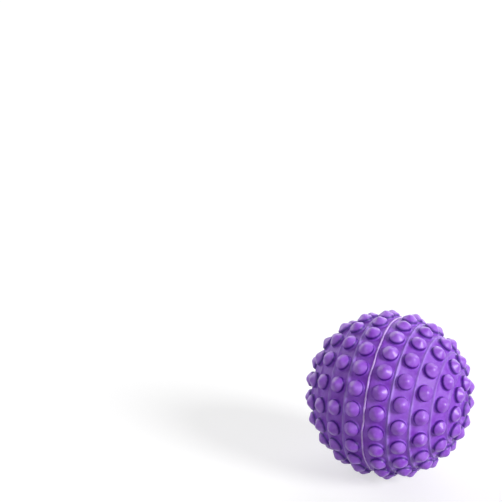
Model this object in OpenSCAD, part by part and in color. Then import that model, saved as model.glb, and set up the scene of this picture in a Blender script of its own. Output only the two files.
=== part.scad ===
// Hollow nubbed ball, moulded as two half shells that are cemented together.
// The poles lie on X, the seam stands in the YZ plane, and the ball rests on four nub tips.

/* [Body] */
// Diameter over the ridges between the bands, without the nubs
body_d = 60; // [50:1:75]
// Thickness of the wall under a ridge
wall_t = 3; // [2.3:0.1:4]

/* [Bands and rows] */
// Bands on each half between the seam and the pole ring, with one row of nubs on each
row_count = 5; // [3:1:5]
// Nubs in the row beside the seam
seam_row_nubs = 24; // [20:4:28]
// Nubs that a row has fewer than the row before it
row_nub_step = 4; // [4:1:5]
// Width of the raised line on each ridge
ridge_w = 1.6; // [1:0.1:1.8]
// Height of the raised line above the edge where two bands meet
ridge_h = 0.22; // [0.1:0.02:0.4]

/* [Nubs] */
// Diameter of a nub's side at the body
nub_root_d = 6.4; // [5:0.1:6.6]
// Diameter of a nub's side at its shoulder
nub_shoulder_d = 5.9; // [4.6:0.1:6.2]
// Height of a nub's side from the body to the shoulder
nub_side_h = 1.8; // [1.2:0.1:2.4]
// Angle across the pointed top
nub_point_angle = 118; // [100:1:140]
// Diameter of the blunt tip
nub_tip_d = 1; // [0.6:0.1:1.6]
// Length of the bevel on each side of the shoulder
nub_bevel = 0.5; // [0.2:0.1:0.6]

/* [Poles] */
// Diameter of the raised ring round the nub at each pole
pole_ring_d = 11.5; // [10:0.1:13]
// Depth of the dish inside the ring
pole_dish = 0.4; // [0.2:0.1:0.7]

/* [Seam] */
// Width of the smooth land beside the seam on each half
land_w = 0.6; // [0.4:0.1:1]
// Width of the cement bead that closes the seam
bead_w = 0.6; // [0.4:0.1:0.8]
// Height of the bead above the land
bead_h = 0.25; // [0.1:0.05:0.4]
// Depth of the groove that the bead fills
groove_depth = 0.5; // [0.3:0.1:0.7]
// Length of the locating lip across the seam
lip_h = 2; // [1:0.1:3]
// Thickness of the locating lip
lip_t = 1.3; // [0.8:0.1:1.6]
// Clearance round and beyond the lip, and under the bead
joint_gap = 0.1; // [0.05:0.05:0.2]

/* [Clocking] */
// Nub pitches from the foot to the first shared meridian of the right half
right_start = 3; // [0:1:5]
// Nub pitches from the foot to the first shared meridian of the left half
left_start = 1; // [0:1:5]

/* [Hidden] */
$fn = 96;
nub_facets = 40;
crown_steps = 2;
overrun = 1;
half_share = 0.5;
nub_sink = wall_t * half_share;

body_r = body_d / 2;
cavity_r = body_r - wall_t;
ring_r = pole_ring_d / 2;
ring_z = sqrt(body_r * body_r - ring_r * ring_r);
dish_z = ring_z - pole_dish;
land_lat = asin(land_w / body_r);
land_r = body_r * cos(land_lat);
groove_r = land_r - groove_depth;
recess_r = cavity_r + lip_t + joint_gap;

// Latitudes count up from the seam, and every band takes an equal angle up to the pole ring.
band_angle = (acos(ring_r / body_r) - land_lat) / row_count;
band_r = body_r * cos(band_angle / 2);
ridge_half_angle = asin(ridge_w / body_d);
nub_pitch = 360 / seam_row_nubs;
shell_colour = "mediumpurple";
bead_colour = "plum";

function ridge_lat(k) = land_lat + k * band_angle;
function row_lat(k) = ridge_lat(k + half_share);
function row_nubs(k) = seam_row_nubs - k * row_nub_step;
function at_lat(lat, r) = [r * cos(lat), r * sin(lat)];

// A line with a round crest at the latitude lat, which rises from a chord at the radius chord_r.
function crown(lat, chord_r, half_w, rise) =
    let (r = (half_w * half_w + rise * rise) / (2 * rise), half_angle = asin(half_w / r))
    [for (i = [-crown_steps : crown_steps])
        at_lat(lat, chord_r + rise - r) + at_lat(lat + half_angle * i / crown_steps, r)];

// A ridge line stands with its feet on the flats of the two bands that meet there.
foot_r = band_r / cos(band_angle / 2 - ridge_half_angle);
ridge_chord_r = foot_r * cos(ridge_half_angle);
ridge_foot_half = foot_r * sin(ridge_half_angle);
function ridge(k) = crown(ridge_lat(k), ridge_chord_r, ridge_foot_half, body_r + ridge_h - ridge_chord_r);

body_outline = concat(
    [[0, 0], [land_r, 0], [land_r, land_w]],
    [for (k = [1 : row_count - 1]) each ridge(k)],
    [for (i = [0 : crown_steps]) ridge(row_count)[i]],
    [[ring_r - ridge_w / 2, ring_z], [ring_r - ridge_w / 2 - pole_dish, dish_z], [0, dish_z]]);

// A nub's outline: drafted side from inside the wall, bevelled shoulder, cone and blunt tip.
root_r = nub_root_d / 2;
shoulder_r = nub_shoulder_d / 2;
tip_r = nub_tip_d / 2;
point_half = nub_point_angle / 2;
draft = atan((root_r - shoulder_r) / nub_side_h);
tip_z = nub_side_h + (shoulder_r - tip_r) / tan(point_half);
shoulder = [shoulder_r, nub_side_h];
nub_outline = [
    [0, -nub_sink],
    [root_r + nub_sink * tan(draft), -nub_sink],
    shoulder + nub_bevel * [sin(draft), -cos(draft)],
    shoulder + nub_bevel * [-sin(point_half), cos(point_half)],
    [tip_r, tip_z],
    [0, tip_z]
];

module nub() {
    rotate_extrude($fn = nub_facets) polygon(nub_outline);
}

// The nubs of one half: rows that share a meridian at the angle start, and one nub at the pole.
module nub_rows(start) {
    for (k = [0 : row_count - 1])
        for (i = [0 : row_nubs(k) - 1])
            rotate(start + i * 360 / row_nubs(k))
                rotate([0, 90 - row_lat(k), 0])
                    translate([0, 0, band_r])
                        nub();
    translate([0, 0, dish_z]) nub();
}

// One hollow half with its pole on +Z and its seam face at zero, grooved for the bead.
module half_shell(start_pitches) {
    difference() {
        union() {
            rotate_extrude() polygon(body_outline);
            nub_rows(-nub_pitch * (start_pitches + half_share));
        }
        sphere(r = cavity_r);
        rotate_extrude() translate([groove_r, -overrun]) square([wall_t, bead_w / 2 + overrun]);
    }
}

// A lip on the cavity side, which stands across the seam.
module locating_lip() {
    rotate_extrude() translate([cavity_r, -lip_h]) square([lip_t, lip_h]);
}

// The space that takes the lip of the other half.
module lip_recess() {
    translate([0, 0, -overrun]) cylinder(r = recess_r, h = lip_h + joint_gap + overrun);
}

module right_half() {
    color(shell_colour)
        rotate([0, 90, 0]) {
            half_shell(right_start);
            locating_lip();
        }
}

module left_half() {
    color(shell_colour)
        mirror([1, 0, 0])
            rotate([0, 90, 0])
                difference() {
                    half_shell(left_start);
                    lip_recess();
                }
}

module seam_bead() {
    floor_r = groove_r + joint_gap;
    color(bead_colour)
        rotate([0, 90, 0])
            rotate_extrude()
                polygon(concat(
                    [[floor_r, bead_w / 2], [floor_r, -bead_w / 2]],
                    crown(0, land_r, bead_w / 2, bead_h)));
}

right_half();
left_half();
seam_bead();
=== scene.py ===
import math

import bmesh
import bpy
from mathutils import Matrix, Vector


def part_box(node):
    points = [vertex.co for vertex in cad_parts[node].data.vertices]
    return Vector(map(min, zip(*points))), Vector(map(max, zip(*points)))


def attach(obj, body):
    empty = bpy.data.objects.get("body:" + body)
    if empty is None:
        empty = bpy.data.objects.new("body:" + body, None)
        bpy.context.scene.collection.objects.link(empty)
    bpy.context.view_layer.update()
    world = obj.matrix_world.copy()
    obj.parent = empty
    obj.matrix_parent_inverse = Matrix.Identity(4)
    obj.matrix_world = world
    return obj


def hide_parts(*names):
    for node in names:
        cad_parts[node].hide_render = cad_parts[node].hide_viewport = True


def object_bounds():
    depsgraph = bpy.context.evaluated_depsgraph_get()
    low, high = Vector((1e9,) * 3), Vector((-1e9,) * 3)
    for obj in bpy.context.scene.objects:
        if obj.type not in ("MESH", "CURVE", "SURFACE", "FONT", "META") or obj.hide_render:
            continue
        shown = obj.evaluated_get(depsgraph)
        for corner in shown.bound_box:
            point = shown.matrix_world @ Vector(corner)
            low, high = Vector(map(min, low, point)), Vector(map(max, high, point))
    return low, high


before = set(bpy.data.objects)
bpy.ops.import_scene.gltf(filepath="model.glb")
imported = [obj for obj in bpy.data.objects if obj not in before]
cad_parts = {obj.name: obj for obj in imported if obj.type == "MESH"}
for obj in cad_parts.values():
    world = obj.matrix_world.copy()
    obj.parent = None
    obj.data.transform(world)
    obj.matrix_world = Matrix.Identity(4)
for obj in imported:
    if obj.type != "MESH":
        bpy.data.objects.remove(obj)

cad_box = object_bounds()

# Units
MM = 0.001
TURN = 2 * math.pi
HALF_TURN = math.pi
QUARTER = math.pi / 2
HALF = 0.5

# Body of the ball: two halves with five flat bands each, which meet in raised ridge lines
BEAD_RISE = 0.25 * MM
LAND_W = 0.6 * MM
LAND_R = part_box("seam_bead")[1].y - BEAD_RISE
BODY_R = math.hypot(LAND_R, LAND_W)
WALL = 3.0 * MM
CAVITY_R = BODY_R - WALL
ROW_NUBS = (24, 20, 16, 12, 8)
RIDGE_H = 0.38 * MM
RIDGE_HALF_W = 0.78 * MM

# Poles: a nub in a shallow dish inside a raised ring
POLE_RING_R = 5.75 * MM
POLE_DISH = 0.4 * MM
POLE_DISH_RUN = 1.25 * MM

# Joint of the two halves
LIP_H = 2.0 * MM
LIP_T = 1.3 * MM
JOINT_GAP = 0.1 * MM

# Nubs: short drafted pegs with a blunt pointed top
NUB_ROOT_R = 3.12 * MM
NUB_SHOULDER_R = 2.88 * MM
NUB_SIDE_H = 1.62 * MM
NUB_POINT_HALF = math.radians(55)
NUB_FILLET = 0.3 * MM
NUB_SHOULDER_ROUND = 0.5 * MM
NUB_TIP_ROUND = 2.0 * MM

# Latitudes count up from the seam
LAND_LAT = math.asin(LAND_W / BODY_R)
BAND = (math.acos(POLE_RING_R / BODY_R) - LAND_LAT) / len(ROW_NUBS)
BAND_R = BODY_R * math.cos(BAND / 2)
BAND_HALF_L = BODY_R * math.sin(BAND / 2)
ROW_LATS = [LAND_LAT + (k + HALF) * BAND for k in range(len(ROW_NUBS))]

# Clocking: the foot of the ball lies between two nubs of each seam row
SEAM_PITCH = TURN / ROW_NUBS[0]
RIGHT_START_PITCHES = 3
LEFT_START_PITCHES = 1
RIGHT_START = (RIGHT_START_PITCHES + HALF) * SEAM_PITCH
LEFT_START = (LEFT_START_PITCHES + HALF) * SEAM_PITCH

# Unevenness of the soft skin: slow hollows, kept clear of the joint and of the inside
HOLLOW_DEPTH = 0.14 * MM
HOLLOW_LENGTH = 7 * MM
HOLLOW_DETAIL = 1.0
SKIN_DEPTH = 1.2 * MM
SKIN_R = BODY_R - SKIN_DEPTH
SKIN_FADE = 0.6 * MM
SEAM_CLEAR = 0.7 * MM
SEAM_FADE = 2.5 * MM
RIGHT_SEED = 2.0
LEFT_SEED = 7.0

# Flash: what is left of the cement line after trimming with a knife, stroke by stroke
FLASH_RISE = 0.24 * MM
FLASH_HALF_W = 0.35 * MM
FLASH_SUNK = 0.05 * MM
FLASH_DRIFT = -0.42 * MM
FLASH_WANDER = 0.6 * MM
FLASH_STROKES = 44
FLASH_SLANT = 0.9 * MM
FLASH_SEED = 4.0

# Unevenness of the flash: scales of noise on a ring of radius 1, and how far it changes width and height
WANDER_SCALE = 2.2
WIDTH_SCALE = 14.0
WIDTH_SWING = 1.8
FULLNESS_SCALE = 9.0
FULLNESS_SWING = 1.4
LEAST_FULLNESS = 0.2
FULLNESS_SEED_STEP = 5.0
FLASH_DETAIL = 3.0

# Mesh steps: every row divides the steps round the ball
ROUND_STEPS = 240
SIDE_STEPS = 10
FLAT_RINGS = 6
RING_CROWDING = 1.5
ARC_STEPS = 4
DISH_STEPS = 6
CAVITY_RINGS = 16
FLASH_STEPS = 720
FLASH_CROWN_STEPS = 6
MERGE = 0.004 * MM

# Colours of the shell and the flash
FLAT_COLOUR = (0.265, 0.07, 0.6, 1)
# Painted shade: near-black purple on the sides of the nubs, standing in for their shading and the shadows
# they cast
NUB_SIDE_PAINTED_SHADE_COLOUR = (0.05, 0.002, 0.21, 1)
# Painted light: the nub tops a little lighter than the flats, as where light falls on them
NUB_TOP_PAINTED_LIGHT_COLOUR = (0.3, 0.075, 0.67, 1)
# Partly a pale bloom of the vinyl along the ridge lines, partly a painted highlight where the ridges catch
# the light
BLOOM_AND_HIGHLIGHT_COLOUR = (0.5, 0.31, 0.88, 1)
FLASH_COLOUR = (0.72, 0.48, 0.98, 1)

# Shell finish: matte flats, nub tops polished by handling
SHELL_RELIEF = 0.07 * MM
SHELL_MOTTLE = 0.4
SHELL_MOTTLE_SIZE = 4 * MM
SHELL_GRAIN_SIZE = 0.6 * MM
SKIN_GLOSS = 0.48
NUB_POLISH = 0.13
NUB_COAT = 0.5
NUB_COAT_ROUGHNESS = 0.38

# Where a nub's painted shade on its side and painted light on its top begin and how far they fade in, as
# shares of the height of its side
SIDE_START_SHARE = 0.1
SIDE_FADE_SHARE = 0.4
TOP_START_SHARE = 0.6
TOP_FADE_SHARE = 0.6

# Ridge patches: pale patches along the ridge lines, partly bloom of the vinyl and partly painted highlight,
# fainter from line to line towards the poles
BLOOM_AND_HIGHLIGHT_STRENGTH = 1.3
BLOOM_AND_HIGHLIGHT_LENGTH = 5 * MM
BLOOM_AND_HIGHLIGHT_FADE = 0.24
BLOOM_AND_HIGHLIGHT_HALF_W = 1.1 * MM
BLOOM_AND_HIGHLIGHT_SEED = 6.0

# Flash finish
FLASH_RELIEF = 0.03 * MM
FLASH_MOTTLE = 0.3
FLASH_MOTTLE_SIZE = 3 * MM
FLASH_GRAIN_SIZE = 0.4 * MM
FLASH_GLOSS = 0.5

# Moulded skin: soft patches with a fine grain, and what each does to light, gloss and relief
PATCH_SEED = 1.0
PATCH_DETAIL = 4.0
PATCH_LIGHT = 2.0
PATCH_ROUGHNESS = 0.2
PATCH_RELIEF_SHARE = 0.8
GRAIN_SEED = 3.0
GRAIN_DETAIL = 3.0
GRAIN_ROUGHNESS = 0.15

# Photograph: 502 pixels square, with the ball low on the right
PHOTO_PX = 502
FOCAL_PX = 1400
SENSOR_MM = 36
CAMERA_DISTANCE = 549 * MM
CAMERA_AZIMUTH = math.radians(16.6)
CAMERA_ELEVATION = math.radians(22.2)
CAMERA_YAW = math.radians(22.93)
CAMERA_PITCH = math.radians(16.73)
CAMERA_ROLL = math.radians(2.4)
NEAREST_SEEN = 10 * MM

# Studio
FLOOR_HALF = 20.0
FLOOR_GLOW = 0.6
FLOOR_COLOUR = (0.5, 0.5, 0.5, 1)
FLOOR_BOUNCE = (0.36, 0.36, 0.36, 1)
WHITE = (1, 1, 1, 1)
AMBIENT = 0.06

# Lamps: azimuth and elevation in degrees, strength, and the angle that each spans
LAMPS = {
    "key": (80, 27, 3.05, 26),
    "front": (5, 12, 0.7, 50),
    "left": (255, 28, 1.0, 50),
    "back": (180, 34, 1.3, 60),
}


# Node trees

# Noise and random draws lie between 0 and 1, about this middle
MIDDLE = 0.5
NOISE_DETAIL = 2.0

# Sockets of a Mix node by its kind of data: first input, second input and result
MIX_SOCKETS = {"VECTOR": (4, 5, 1), "RGBA": (6, 7, 2)}


class Field:
    """A number in a node tree. Arithmetic on it adds Math nodes."""

    def __init__(self, tree, socket):
        self.tree = tree
        self.socket = socket

    def math(self, operation, *others, clamp=False):
        node = self.tree.nodes.new("ShaderNodeMath")
        node.operation = operation
        node.use_clamp = clamp
        for socket, value in zip(node.inputs, (self, *others)):
            feed(self.tree, value, socket)
        return Field(self.tree, node.outputs[0])

    def __add__(self, other):
        return self.math("ADD", other)

    def __sub__(self, other):
        return self.math("SUBTRACT", other)

    def __rsub__(self, other):
        return self.math("MULTIPLY_ADD", -1.0, other)

    def __mul__(self, other):
        return self.math("MULTIPLY", other)

    def __truediv__(self, other):
        return self.math("DIVIDE", other)

    def clamped(self):
        return self.math("ADD", 0.0, clamp=True)

    def towards(self, other, share):
        """Moves from this value to other as share goes from 0 to 1."""
        return self + (other - self) * share


def feed(tree, value, socket):
    """Links a field or socket to a socket, or sets its constant."""
    if isinstance(value, Field):
        tree.links.new(value.socket, socket)
    elif isinstance(value, bpy.types.NodeSocket):
        tree.links.new(value, socket)
    else:
        socket.default_value = value


def add(tree, kind, inputs=None, **settings):
    """Adds a node, sets its properties and feeds its inputs by name or index."""
    node = tree.nodes.new(kind)
    for name, value in settings.items():
        setattr(node, name, value)
    for name, value in (inputs or {}).items():
        feed(tree, value, node.inputs[name])
    return node


def xyz(tree, x, y, z):
    return add(tree, "ShaderNodeCombineXYZ", {"X": x, "Y": y, "Z": z}).outputs[0]


def split(tree, vector):
    parts = add(tree, "ShaderNodeSeparateXYZ", {0: vector}).outputs
    return [Field(tree, part) for part in parts]


def vector_math(tree, operation, inputs):
    return add(tree, "ShaderNodeVectorMath", inputs, operation=operation).outputs


def length(tree, vector):
    return Field(tree, vector_math(tree, "LENGTH", {0: vector})["Value"])


def scaled(tree, vector, factor):
    return vector_math(tree, "SCALE", {0: vector, "Scale": factor})[0]


def summed(tree, first, second):
    return vector_math(tree, "ADD", {0: first, 1: second})[0]


def turned(tree, vector, angle):
    """The vector turned about Z."""
    inputs = {"Vector": vector, "Angle": angle}
    return add(tree, "ShaderNodeVectorRotate", inputs, rotation_type="Z_AXIS").outputs[0]


def mixed(tree, kind, first, second, share):
    """Moves from the first vector or colour to the second as share goes from 0 to 1."""
    first_in, second_in, result = MIX_SOCKETS[kind]
    inputs = {"Factor": share, first_in: first, second_in: second}
    return add(tree, "ShaderNodeMix", inputs, data_type=kind).outputs[result]


def noise(tree, vector, scale, seed, detail=NOISE_DETAIL):
    """Smooth noise over a vector."""
    inputs = {"Vector": vector, "Scale": scale, "W": seed, "Detail": detail}
    return Field(tree, add(tree, "ShaderNodeTexNoise", inputs, noise_dimensions="4D").outputs[0])


# Geometry trees


def new_tree(name, sizes):
    """A geometry tree with an input geometry, the named sizes and a material."""
    tree = bpy.data.node_groups.new(name, "GeometryNodeTree")
    tree.interface.new_socket("Geometry", in_out="INPUT", socket_type="NodeSocketGeometry")
    for size, kind in sizes.items():
        tree.interface.new_socket(size, in_out="INPUT", socket_type="NodeSocket" + kind)
    tree.interface.new_socket("Material", in_out="INPUT", socket_type="NodeSocketMaterial")
    tree.interface.new_socket("Geometry", in_out="OUTPUT", socket_type="NodeSocketGeometry")
    inputs = tree.nodes.new("NodeGroupInput").outputs
    fields = {size: Field(tree, inputs[size]) for size in sizes}
    return tree, inputs, fields


def end_tree(tree, inputs, geometry, offset=(0.0, 0.0, 0.0)):
    """Realizes instances, moves points by the offset, joins shared ones and sets the material."""
    steps = (
        ("GeometryNodeRealizeInstances", {}),
        ("GeometryNodeSetPosition", {"Offset": offset}),
        ("GeometryNodeMergeByDistance", {"Distance": MERGE}),
        ("GeometryNodeSetShadeSmooth", {}),
        ("GeometryNodeSetMaterial", {"Material": inputs["Material"]}),
    )
    for kind, settings in steps:
        geometry = add(tree, kind, {"Geometry": geometry, **settings}).outputs[0]
    add(tree, "NodeGroupOutput", {"Geometry": geometry})


def outline_point(tree, inputs, index):
    """Radius and height of one point of the outline that the tree is given."""
    position = add(tree, "GeometryNodeInputPosition").outputs[0]
    wanted = {"Geometry": inputs["Geometry"], "Value": position, "Index": index}
    sample = add(tree, "GeometryNodeSampleIndex", wanted, data_type="FLOAT_VECTOR", domain="POINT")
    radius, _, height = split(tree, sample.outputs["Value"])
    return radius, height


def point_count(tree, inputs):
    outline = {"Geometry": inputs["Geometry"]}
    size = add(tree, "GeometryNodeAttributeDomainSize", outline, component="MESH")
    return Field(tree, size.outputs["Point Count"])


def unit_grid(tree, steps_round, rings):
    """A grid to be laid on a surface: its mesh, each point's place round it from 0 to 1, and its ring."""
    counts = {"Vertices X": steps_round + 1, "Vertices Y": rings}
    grid = add(tree, "GeometryNodeMeshGrid", {"Size X": 1.0, "Size Y": 1.0, **counts})
    u, v, _ = split(tree, grid.outputs["UV Map"])
    return grid.outputs["Mesh"], u, (v * (rings - 1)).math("ROUND")


def placed(tree, mesh, position):
    return add(tree, "GeometryNodeSetPosition", {"Geometry": mesh, "Position": position}).outputs[0]


SKIN_SIZES = {"Hollow Depth": "Float", "Seed": "Float"}


def hollows(tree, sizes):
    """How far slow noise draws each point of the outer skin in towards the ball's centre."""
    position = add(tree, "GeometryNodeInputPosition").outputs[0]
    radius = length(tree, position)
    height = split(tree, position)[2]
    depth = noise(tree, position, 1 / HOLLOW_LENGTH, sizes["Seed"], HOLLOW_DETAIL) * sizes["Hollow Depth"]
    on_skin = ((radius - SKIN_R) / SKIN_FADE).clamped()
    off_seam = ((height - SEAM_CLEAR) / SEAM_FADE).clamped()
    return scaled(tree, position, depth * on_skin * off_seam / radius * -1.0)


def turning_tree():
    """Turns an outline about the pole axis."""
    tree, inputs, sizes = new_tree("turned_wall", {"Steps": "Int", **SKIN_SIZES})
    mesh, u, ring = unit_grid(tree, sizes["Steps"], point_count(tree, inputs))
    radius, height = outline_point(tree, inputs, ring)
    wall = placed(tree, mesh, turned(tree, xyz(tree, radius, 0.0, height), u * TURN))
    end_tree(tree, inputs, wall, hollows(tree, sizes))
    return tree


def nub_row_tree():
    """One row of nubs with the band round them and half of each ridge line, from the outline of a nub.

    Each nub has a cell of the band to itself. The cell's edge is walked once round in u, from the seam
    side. The rings run from that edge to the nub's foot, then up the nub's outline to its tip.
    """
    tree, inputs, sizes = new_tree("nub_row", {
        "Nubs": "Int", "Steps": "Int", "Side Steps": "Int", "Flat Rings": "Int", "Latitude": "Float",
        "Start": "Float", "Band Radius": "Float", "Band Half Length": "Float", "Side Height": "Float",
        "Seam Ridge": "Float", "Pole Ridge": "Float", "Ridge Half Width": "Float", **SKIN_SIZES})
    nubs, side_steps, flat_rings = sizes["Nubs"], sizes["Side Steps"], sizes["Flat Rings"]
    half_length = sizes["Band Half Length"]
    edge_steps = sizes["Steps"] / nubs
    loop_steps = (edge_steps + side_steps) * 2.0
    mesh, u, ring = unit_grid(tree, loop_steps, point_count(tree, inputs) + flat_rings)
    radius, height = outline_point(tree, inputs, (ring - flat_rings).math("MAXIMUM", 0.0))

    # Edge of the cell: up one side, along the pole edge, down the other side and back along the seam edge
    step = (u * loop_steps).math("ROUND")
    up = (step / side_steps).clamped()
    along = ((step - side_steps) / edge_steps).clamped()
    down = ((step - side_steps - edge_steps) / side_steps).clamped()
    back = ((step - side_steps * 2.0 - edge_steps) / edge_steps).clamped()

    # Places on the edge from -1 to 1, across the cell and along it
    across_share = (back - along) * 2.0 + 1.0
    length_share = (up - down) * 2.0 - 1.0

    # The band is a cone: its radius at a distance from the middle of the band
    sine = sizes["Latitude"].math("SINE")
    cosine = sizes["Latitude"].math("COSINE")

    def cone_radius(distance):
        return sizes["Band Radius"] * cosine - distance * sine

    # Side points crowd towards the ridges, and a cell with an odd count of steps is set off by half a step
    odd = edge_steps.math("MODULO", 2.0)
    edge_angle = across_share * HALF_TURN / nubs + odd * HALF_TURN / sizes["Steps"]
    edge_y = (length_share * QUARTER).math("SINE") * half_length
    edge_x = edge_angle * cone_radius(edge_y)

    # Rings: from the edge in to the foot circle, then up the outline
    share = (ring / flat_rings).clamped().math("POWER", RING_CROWDING)
    angle = edge_y.math("ARCTAN2", edge_x)
    x = edge_x.towards(radius * angle.math("COSINE"), share)
    y = edge_y.towards(radius * angle.math("SINE"), share)

    # Points near the foot lie on the cone, and higher ones in the nub's own flat frame
    height_on_axis = sizes["Band Radius"] * sine + y * cosine
    on_cone = turned(tree, xyz(tree, cone_radius(y), 0.0, height_on_axis), x / cone_radius(y))
    in_plane = xyz(tree, cone_radius(y), x, height_on_axis)
    rise = (height / sizes["Side Height"]).clamped()
    foot = mixed(tree, "VECTOR", on_cone, in_plane, rise)
    lift = xyz(tree, height * cosine, 0.0, height * sine)

    # The ridge lines on both edges of the band stand out along the ball's radius
    def ridge(crest, distance):
        nearness = (distance / sizes["Ridge Half Width"]).clamped()
        return ((nearness * HALF_TURN).math("COSINE") + 1.0) * crest * HALF

    ridges = ridge(sizes["Seam Ridge"], half_length + y) + ridge(sizes["Pole Ridge"], half_length - y)
    outward = vector_math(tree, "NORMALIZE", {0: foot})[0]
    standing = scaled(tree, outward, ridges * (1.0 - rise))
    cell = placed(tree, mesh, summed(tree, summed(tree, foot, lift), standing))

    # One cell for every nub of the row
    points = add(tree, "GeometryNodePoints", {"Count": nubs}).outputs[0]
    index = Field(tree, add(tree, "GeometryNodeInputIndex").outputs[0])
    spin = xyz(tree, 0.0, 0.0, index * TURN / nubs + sizes["Start"])
    row = {"Points": points, "Instance": cell, "Rotation": spin}
    copies = add(tree, "GeometryNodeInstanceOnPoints", row).outputs[0]
    end_tree(tree, inputs, copies, hollows(tree, sizes))
    return tree


def flash_tree():
    """A ring of trimmed flash on the land, from its cross-section as an outline about the land.

    It wanders with slow noise and with the knife strokes, each a straight stretch that sets off at an
    angle to the last.
    """
    tree, inputs, sizes = new_tree("seam_flash", {
        "Steps": "Int", "Strokes": "Int", "Land Radius": "Float", "Land Half Width": "Float",
        "Land Fall": "Float", "Drift": "Float", "Wander": "Float", "Slant": "Float", "Seed": "Float"})
    mesh, u, ring = unit_grid(tree, sizes["Steps"], point_count(tree, inputs))
    rise, across = outline_point(tree, inputs, ring)
    turn = u * TURN
    place = xyz(tree, turn.math("COSINE"), turn.math("SINE"), 0.0)
    seed = sizes["Seed"]

    # Knife strokes
    stroke = u * sizes["Strokes"]
    number = stroke.math("FLOOR")

    def turning_point(index):
        around = index.math("MODULO", sizes["Strokes"]) + seed
        draw = add(tree, "ShaderNodeTexWhiteNoise", {"W": around}, noise_dimensions="1D")
        return (Field(tree, draw.outputs["Value"]) - MIDDLE) * sizes["Slant"]

    stroke_shift = turning_point(number).towards(turning_point(number + 1), stroke - number)

    # Slow wander of the line, and quick change of its width and height
    slow = (noise(tree, place, WANDER_SCALE, seed) - MIDDLE) * sizes["Wander"]
    width = noise(tree, place, WIDTH_SCALE, seed, FLASH_DETAIL) * WIDTH_SWING
    swell = noise(tree, place, FULLNESS_SCALE, seed + FULLNESS_SEED_STEP, FLASH_DETAIL)
    fullness = (swell * FULLNESS_SWING + LEAST_FULLNESS).math("MINIMUM", 1.0)

    # Past the land the body falls away, and the flash goes with it
    height = across * width + slow + stroke_shift + sizes["Drift"]
    past_land = (height.math("ABSOLUTE") - sizes["Land Half Width"]).math("MAXIMUM", 0.0)
    crown = rise.math("MAXIMUM", 0.0) * fullness
    radius = sizes["Land Radius"] + rise.math("MINIMUM", 0.0) + crown - past_land * sizes["Land Fall"]
    end_tree(tree, inputs, placed(tree, mesh, turned(tree, xyz(tree, radius, 0.0, height), turn)))
    return tree


def outline_mesh(points):
    """An outline of radius and height as an open chain of edges."""
    mesh = bpy.data.meshes.new("outline")
    edges = [(i, i + 1) for i in range(len(points) - 1)]
    mesh.from_pydata([(r, 0.0, z) for r, z in points], edges, [])
    return mesh


def grown(tree, mesh, **sizes):
    """Runs a tree on a mesh and returns the plain mesh that comes out."""
    obj = bpy.data.objects.new("growing", mesh)
    bpy.context.scene.collection.objects.link(obj)
    modifier = obj.modifiers.new(tree.name, "NODES")
    modifier.node_group = tree
    for item in tree.interface.items_tree:
        key = item.name.lower().replace(" ", "_")
        if item.item_type == "SOCKET" and item.in_out == "INPUT" and key in sizes:
            modifier[item.identifier] = sizes[key]
    graph = bpy.context.evaluated_depsgraph_get()
    result = bpy.data.meshes.new_from_object(obj.evaluated_get(graph), depsgraph=graph)
    obj.modifiers.remove(modifier)
    bpy.data.objects.remove(obj)
    return result


# Outlines, as pairs of radius and height


def arc(centre, radius, start, end):
    angles = [start + (end - start) * i / ARC_STEPS for i in range(ARC_STEPS + 1)]
    return [(centre[0] + radius * math.cos(a), centre[1] + radius * math.sin(a)) for a in angles]


def nub_outline():
    """From the foot circle on the band, up the side and over the shoulder to the tip."""
    draft = math.atan((NUB_ROOT_R - NUB_SHOULDER_R) / NUB_SIDE_H)
    foot_r = NUB_ROOT_R + NUB_FILLET * (1 - math.sin(draft)) / math.cos(draft)
    inset = NUB_SHOULDER_ROUND / math.cos((NUB_POINT_HALF - draft) / 2)
    lean = (NUB_POINT_HALF + draft) / 2
    shoulder = (NUB_SHOULDER_R - inset * math.cos(lean), NUB_SIDE_H - inset * math.sin(lean))
    apex = NUB_SIDE_H + NUB_SHOULDER_R / math.tan(NUB_POINT_HALF)
    tip = (0.0, apex - NUB_TIP_ROUND / math.sin(NUB_POINT_HALF))
    return (arc((foot_r, NUB_FILLET), NUB_FILLET, -QUARTER, -HALF_TURN + draft)
            + arc(shoulder, NUB_SHOULDER_ROUND, draft, NUB_POINT_HALF)
            + arc(tip, NUB_TIP_ROUND, NUB_POINT_HALF, QUARTER))


def pole_outline():
    """From the crest of the ring round the pole, down into the dish and up the nub in it."""
    ring_z = math.sqrt(BODY_R ** 2 - POLE_RING_R ** 2)
    crest_share = (BODY_R + RIDGE_H) / BODY_R
    crest_r, crest_z = POLE_RING_R * crest_share, ring_z * crest_share
    dish_z = ring_z - POLE_DISH
    dish = []
    for i in range(DISH_STEPS + 1):
        fall = (1 - math.cos(HALF_TURN * i / DISH_STEPS)) / 2
        dish.append((crest_r - POLE_DISH_RUN * i / DISH_STEPS, crest_z + (dish_z - crest_z) * fall))
    return dish + [(r, dish_z + h) for r, h in nub_outline()]


def rim_outline(lipped):
    """From the edge of the seam row's band over the land, the joint faces and the wall of the air space."""
    land = [(LAND_R, LAND_W), (LAND_R, 0.0)]
    lip_r = CAVITY_R + LIP_T
    if lipped:
        joint = [(lip_r, 0.0), (lip_r, -LIP_H), (CAVITY_R, -LIP_H), (CAVITY_R, 0.0)]
        first = 0.0
    else:
        depth = LIP_H + JOINT_GAP
        first = math.asin(depth / CAVITY_R)
        joint = [(lip_r + JOINT_GAP, 0.0), (lip_r + JOINT_GAP, depth), (CAVITY_R * math.cos(first), depth)]
    lats = [first + (QUARTER - first) * (i + 1) / CAVITY_RINGS for i in range(CAVITY_RINGS)]
    return land + joint + [(CAVITY_R * math.cos(a), CAVITY_R * math.sin(a)) for a in lats]


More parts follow.
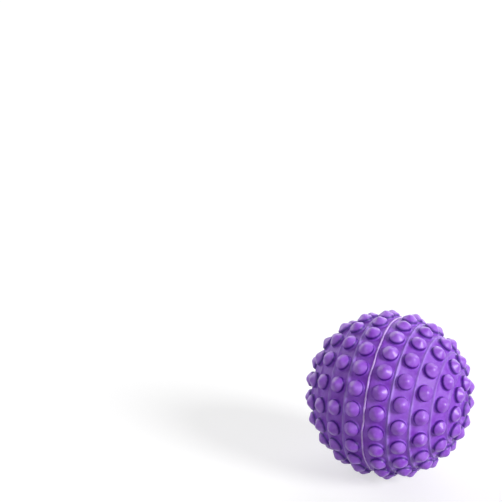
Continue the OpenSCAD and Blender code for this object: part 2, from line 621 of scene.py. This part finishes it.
def flash_outline():
    """Cross-section of the flash about the land: its sunk underside and its round crown."""
    edge = (-FLASH_SUNK, -FLASH_HALF_W)
    crown = []
    for i in range(FLASH_CROWN_STEPS + 1):
        angle = HALF_TURN * i / FLASH_CROWN_STEPS
        crown.append((FLASH_RISE * math.sin(angle), -FLASH_HALF_W * math.cos(angle)))
    return [edge] + crown + [(-FLASH_SUNK, FLASH_HALF_W), edge]


# Materials


def moulded_skin():
    """A shader group: mottled colour, uneven gloss and fine relief of a moulded rubber skin."""
    group = bpy.data.node_groups.new("moulded_skin", "ShaderNodeTree")
    for name, kind in (("Colour", "Color"), ("Mottle", "Float"), ("Mottle Scale", "Float"),
                       ("Grain Scale", "Float"), ("Gloss", "Float")):
        group.interface.new_socket(name, in_out="INPUT", socket_type="NodeSocket" + kind)
    for name, kind in (("Colour", "Color"), ("Roughness", "Float"), ("Height", "Float")):
        group.interface.new_socket(name, in_out="OUTPUT", socket_type="NodeSocket" + kind)
    inputs = group.nodes.new("NodeGroupInput").outputs
    place = add(group, "ShaderNodeTexCoord").outputs["Object"]
    patches = noise(group, place, inputs["Mottle Scale"], PATCH_SEED, PATCH_DETAIL)
    grain = noise(group, place, inputs["Grain Scale"], GRAIN_SEED, GRAIN_DETAIL)
    change = (patches - MIDDLE) * inputs["Mottle"]
    colour = add(group, "ShaderNodeHueSaturation", {
        "Color": inputs["Colour"], "Value": change * PATCH_LIGHT + 1.0, "Saturation": 1.0 - change})
    unevenness = (patches - MIDDLE) * PATCH_ROUGHNESS + (grain - MIDDLE) * GRAIN_ROUGHNESS
    roughness = unevenness + (1.0 - Field(group, inputs["Gloss"]))
    height = grain + patches * PATCH_RELIEF_SHARE
    add(group, "NodeGroupOutput", {"Colour": colour.outputs[0], "Roughness": roughness, "Height": height})
    return group


def skinned(name, skin, relief, values):
    """A material whose surface comes from the skin group, with its shader and the group's node."""
    material = bpy.data.materials.new(name)
    material.use_nodes = True
    tree = material.node_tree
    shader = tree.nodes["Principled BSDF"]
    surface = add(tree, "ShaderNodeGroup", values, node_tree=skin)
    bump = add(tree, "ShaderNodeBump", {
        "Height": surface.outputs["Height"], "Strength": 1.0, "Distance": relief})
    feed(tree, surface.outputs["Colour"], shader.inputs["Base Color"])
    feed(tree, surface.outputs["Roughness"], shader.inputs["Roughness"])
    feed(tree, bump.outputs[0], shader.inputs["Normal"])
    return material, shader, surface


def band_masks(tree):
    """Where the surface is a ridge line, the side of a nub and the top of a nub: from 0 to 1."""
    place = add(tree, "ShaderNodeTexCoord").outputs["Object"]
    x, y, z = split(tree, place)
    axis = x.math("ABSOLUTE")
    bands = ((axis / length(tree, place)).math("ARCSINE") - LAND_LAT) / BAND
    away = (bands - bands.math("ROUND")).math("ABSOLUTE") * (BAND * BODY_R / BLOOM_AND_HIGHLIGHT_HALF_W)
    past_seam = bands.math("GREATER_THAN", HALF)
    patchy = noise(tree, place, 1 / BLOOM_AND_HIGHLIGHT_LENGTH, BLOOM_AND_HIGHLIGHT_SEED)
    fading = (1.0 - (bands - 1.0) * BLOOM_AND_HIGHLIGHT_FADE).clamped()
    # Ridge patches, partly bloom of the vinyl and partly painted highlight
    ridge = (1.0 - away).clamped() * past_seam * patchy * fading

    # Height over the flat of the band, and the same as a share of the height of a nub's side
    middle = (bands.math("FLOOR") + HALF) * BAND + LAND_LAT
    off_axis = length(tree, xyz(tree, y, z, 0.0))
    height = axis * middle.math("SINE") + off_axis * middle.math("COSINE") - BAND_R
    height_share = height / NUB_SIDE_H
    off_flat = ((height_share - SIDE_START_SHARE) / SIDE_FADE_SHARE).clamped()
    nub_top = ((height_share - TOP_START_SHARE) / TOP_FADE_SHARE).clamped()
    return ridge, off_flat - nub_top, nub_top


def shell_vinyl(skin):
    """Purple soft vinyl with nub tops polished by handling, painted shade on the nub sides, painted light
    on the nub tops, and pale patches along the ridge lines that are partly bloom and partly painted
    highlight.
    """
    material, shader, surface = skinned("shell_vinyl", skin, SHELL_RELIEF, {
        "Mottle": SHELL_MOTTLE, "Mottle Scale": 1 / SHELL_MOTTLE_SIZE, "Grain Scale": 1 / SHELL_GRAIN_SIZE})
    tree = material.node_tree
    ridge, nub_side_painted_shade, nub_top = band_masks(tree)
    # Painted shade: the sides of the nubs darkened towards near-black
    sides = mixed(tree, "RGBA", FLAT_COLOUR, NUB_SIDE_PAINTED_SHADE_COLOUR, nub_side_painted_shade)
    # Painted light: the tops of the nubs made lighter than the flats
    tops = mixed(tree, "RGBA", sides, NUB_TOP_PAINTED_LIGHT_COLOUR, nub_top)
    # Pale ridge patches: partly bloom, partly painted highlight
    bloomed_and_highlit = mixed(tree, "RGBA", tops, BLOOM_AND_HIGHLIGHT_COLOUR, (ridge * BLOOM_AND_HIGHLIGHT_STRENGTH).clamped())
    feed(tree, bloomed_and_highlit, surface.inputs["Colour"])
    feed(tree, nub_top * NUB_POLISH + SKIN_GLOSS, surface.inputs["Gloss"])
    feed(tree, nub_top * NUB_COAT, shader.inputs["Coat Weight"])
    shader.inputs["Coat Roughness"].default_value = NUB_COAT_ROUGHNESS
    return material


def flash_cement(skin):
    """Pale trimmed cement."""
    values = {"Colour": FLASH_COLOUR, "Mottle": FLASH_MOTTLE, "Mottle Scale": 1 / FLASH_MOTTLE_SIZE,
              "Grain Scale": 1 / FLASH_GRAIN_SIZE, "Gloss": FLASH_GLOSS}
    return skinned("flash_cement", skin, FLASH_RELIEF, values)[0]


# Pieces


def finished(name, meshes, matrix, material):
    """Joins meshes into one closed piece, laid along the pole axis."""
    bm = bmesh.new()
    for mesh in meshes:
        bm.from_mesh(mesh)
    bmesh.ops.remove_doubles(bm, verts=bm.verts, dist=MERGE)
    bmesh.ops.transform(bm, matrix=matrix, verts=bm.verts)
    bmesh.ops.recalc_face_normals(bm, faces=bm.faces)
    for face in bm.faces:
        face.smooth = True
        face.material_index = 0
    piece_mesh = bpy.data.meshes.new(name)
    bm.to_mesh(piece_mesh)
    bm.free()
    piece_mesh.materials.append(material)
    piece = bpy.data.objects.new(name, piece_mesh)
    bpy.context.scene.collection.objects.link(piece)
    return piece


def half_piece(name, start, seed, lipped, matrix, trees, material):
    """One half: its pole, its rim and its five rows of nubs."""
    turning, rows = trees
    shared = {"steps": ROUND_STEPS, "hollow_depth": HOLLOW_DEPTH, "seed": seed, "material": material}
    row_sizes = {
        "side_steps": SIDE_STEPS, "flat_rings": FLAT_RINGS, "start": -start, "band_radius": BAND_R,
        "band_half_length": BAND_HALF_L, "side_height": NUB_SIDE_H, "pole_ridge": RIDGE_H,
        "ridge_half_width": RIDGE_HALF_W}
    outlines = (pole_outline(), rim_outline(lipped))
    meshes = [grown(turning, outline_mesh(outline), **shared) for outline in outlines]
    for k, nubs in enumerate(ROW_NUBS):
        seam_ridge = RIDGE_H if k else 0.0
        row = grown(rows, outline_mesh(nub_outline()), nubs=nubs, latitude=ROW_LATS[k],
                    seam_ridge=seam_ridge, **row_sizes, **shared)
        meshes.append(row)
    return finished(name, meshes, matrix, material)


def flash_piece(matrix, material):
    """The ring of flash beside the seam."""
    ring = grown(flash_tree(), outline_mesh(flash_outline()), steps=FLASH_STEPS, strokes=FLASH_STROKES,
                 land_radius=LAND_R, land_half_width=LAND_W, land_fall=math.tan(ROW_LATS[0]),
                 drift=FLASH_DRIFT, wander=FLASH_WANDER, slant=FLASH_SLANT, seed=FLASH_SEED,
                 material=material)
    return finished("seam_flash", [ring], matrix, material)


# Scene


def seen_directly(tree):
    """1 for rays on which the background shows, 0 for rays that light the object."""
    path = add(tree, "ShaderNodeLightPath").outputs
    camera_ray, glossy, through = (Field(tree, path[name]) for name in (
        "Is Camera Ray", "Is Glossy Ray", "Is Transmission Ray"))
    return camera_ray.math("MAXIMUM", glossy).math("MAXIMUM", through)


def stage():
    """A pale floor under the lowest nubs, which looks nearly white and keeps the ball's shadow."""
    low = cad_box[0].z
    mesh = bpy.data.meshes.new("floor")
    corners = [(x * FLOOR_HALF, y * FLOOR_HALF, low) for x, y in ((-1, -1), (1, -1), (1, 1), (-1, 1))]
    mesh.from_pydata(corners, [], [(0, 1, 2, 3)])
    floor = bpy.data.objects.new("floor", mesh)
    bpy.context.scene.collection.objects.link(floor)
    material = bpy.data.materials.new("pale_floor")
    material.use_nodes = True
    tree = material.node_tree
    tree.nodes.clear()
    seen = seen_directly(tree)
    colour = mixed(tree, "RGBA", FLOOR_BOUNCE, FLOOR_COLOUR, seen)
    matte = add(tree, "ShaderNodeBsdfDiffuse", {"Color": colour})
    glow = add(tree, "ShaderNodeEmission", {"Color": WHITE, "Strength": seen * FLOOR_GLOW})
    both = add(tree, "ShaderNodeAddShader", {0: matte.outputs[0], 1: glow.outputs[0]})
    add(tree, "ShaderNodeOutputMaterial", {"Surface": both.outputs[0]})
    mesh.materials.append(material)


def surround():
    """A white surround that lights the object softly."""
    world = bpy.data.worlds.new("studio")
    bpy.context.scene.world = world
    world.use_nodes = True
    tree = world.node_tree
    background = tree.nodes["Background"]
    background.inputs["Color"].default_value = WHITE
    feed(tree, seen_directly(tree) * (1 - AMBIENT) + AMBIENT, background.inputs["Strength"])


def aim(azimuth, elevation):
    """The direction at an azimuth, counted from the front towards the right, and an elevation."""
    cosine = math.cos(elevation)
    return Vector((math.sin(azimuth) * cosine, -math.cos(azimuth) * cosine, math.sin(elevation)))


def lamp(name, azimuth, elevation, strength, softness):
    """A far soft lamp: softness is the angle that it spans."""
    light = bpy.data.lights.new(name, "SUN")
    light.energy = strength
    light.angle = math.radians(softness)
    obj = bpy.data.objects.new(name, light)
    direction = aim(math.radians(azimuth), math.radians(elevation))
    obj.rotation_euler = (-direction).to_track_quat("-Z", "Y").to_euler()
    bpy.context.scene.collection.objects.link(obj)


def camera():
    """The photograph's view: the ball low on the right of a square frame."""
    data = bpy.data.cameras.new("photo_camera")
    data.sensor_width = SENSOR_MM
    data.lens = SENSOR_MM * FOCAL_PX / PHOTO_PX
    data.clip_start = NEAREST_SEEN
    cam = bpy.data.objects.new("photo_camera", data)
    turn = (Matrix.Rotation(CAMERA_YAW, 4, "Z") @ Matrix.Rotation(QUARTER - CAMERA_PITCH, 4, "X")
            @ Matrix.Rotation(CAMERA_ROLL, 4, "Z"))
    place = aim(CAMERA_AZIMUTH, CAMERA_ELEVATION) * CAMERA_DISTANCE
    cam.matrix_world = Matrix.Translation(place) @ turn
    bpy.context.scene.collection.objects.link(cam)
    bpy.context.scene.camera = cam


bpy.context.scene.view_settings.view_transform = "Standard"
camera()
stage()
surround()
for lamp_name, settings in LAMPS.items():
    lamp(lamp_name, *settings)

skin = moulded_skin()
vinyl = shell_vinyl(skin)
cement = flash_cement(skin)
trees = (turning_tree(), nub_row_tree())
to_right = Matrix.Rotation(QUARTER, 4, "Y")
to_left = Matrix.Scale(-1, 4, (1, 0, 0)) @ to_right
right_half = half_piece("right_half_moulding", RIGHT_START, RIGHT_SEED, True, to_right, trees, vinyl)
left_half = half_piece("left_half_moulding", LEFT_START, LEFT_SEED, False, to_left, trees, vinyl)
flash = flash_piece(to_right, cement)
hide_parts("right_half")
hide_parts("left_half")
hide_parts("seam_bead")
for piece, slot in ((right_half, "shell"), (left_half, "shell"), (flash, "bead")):
    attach(piece, "root")
